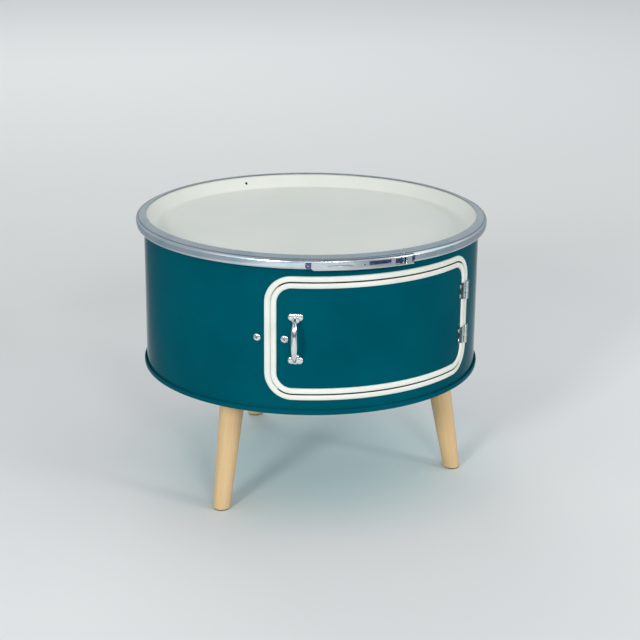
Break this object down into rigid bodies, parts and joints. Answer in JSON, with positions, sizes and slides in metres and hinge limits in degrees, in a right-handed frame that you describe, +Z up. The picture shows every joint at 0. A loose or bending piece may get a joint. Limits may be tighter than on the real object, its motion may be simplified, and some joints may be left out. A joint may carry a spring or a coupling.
{
  "type": "oil barrel coffee table",
  "caption": "Round low table from a short steel barrel: clamped lid as tray top, hinged curved door to the storage inside, splayed wooden legs.",
  "frame": {"origin": "on the floor, under the barrel's axis", "axes": "+Z up, the door faces -Y, +X to the right of someone who faces the door"},
  "size_m": [0.5996, 0.6083, 0.4653],
  "materials": {
    "teal_paint": "gloss teal enamel on steel sheet",
    "cream_paint": "satin cream enamel on steel sheet",
    "edge_trim": "smooth cream PVC edging",
    "zinc": "bright zinc plate",
    "chrome": "polished chrome plate",
    "steel": "plain steel",
    "wood": "clear oiled beech",
    "rubber": "black sponge rubber",
    "felt": "brown felt"
  },
  "bodies": {
    "barrel": {"catch_bracket": "zinc", "catch_magnet": "steel", "clamp_ring": "zinc", "drum_bottom": "teal_paint", "drum_shell": "teal_paint", "hinge_frame_leaf_lower": "chrome", "hinge_frame_leaf_upper": "chrome", "hinge_frame_screw_1": "chrome", "hinge_frame_screw_2": "chrome", "hinge_frame_screw_3": "chrome", "hinge_frame_screw_4": "chrome", "hinge_pin_lower": "steel", "hinge_pin_upper": "steel", "hook_bracket": "zinc", "hook_pin": "steel", "leg_back": "wood", "leg_glide_back": "felt", "leg_glide_left": "felt", "leg_glide_right": "felt", "leg_left": "wood", "leg_plate_back": "zinc", "leg_plate_left": "zinc", "leg_plate_right": "zinc", "leg_right": "wood", "leg_stud_back": "steel", "leg_stud_left": "steel", "leg_stud_right": "steel", "lever_bracket": "zinc", "lever_pin": "steel", "lid": "cream_paint", "lid_gasket": "rubber", "opening_trim": "edge_trim", "wall_bolt": "chrome", "wall_nut": "steel"},
    "door": {"door_bolt": "chrome", "door_handle": "chrome", "door_nut": "steel", "door_panel": "teal_paint", "door_trim": "edge_trim", "handle_screw_lower": "steel", "handle_screw_upper": "steel", "hinge_door_leaf_lower": "chrome", "hinge_door_leaf_upper": "chrome", "hinge_door_screw_1": "chrome", "hinge_door_screw_2": "chrome", "hinge_door_screw_3": "chrome", "hinge_door_screw_4": "chrome", "keeper_plate": "zinc"},
    "lever": {"clamp_lever": "zinc", "link_pin": "steel"},
    "link": {"tension_link": "zinc"}
  },
  "joints": [
    {"name": "door_swing", "type": "hinge", "parent": "barrel", "child": "door", "pos_m": [0.17777, -0.23253, 0.3277], "axis": [0, 0, 1], "range_deg": [0, 170]},
    {"name": "lever_swing", "type": "hinge", "parent": "barrel", "child": "lever", "pos_m": [0.03698, -0.30119, 0.4533], "axis": [0, 0, 1], "range_deg": [0, 130]},
    {"name": "link_swing", "type": "hinge", "parent": "lever", "child": "link", "pos_m": [0.01588, -0.30303, 0.4533], "axis": [0, 0, 1], "range_deg": [-130, 0]}
  ],
  "couplings": [
    {"joint": "link_swing", "follows": "lever_swing", "ratio": -1}
  ]
}
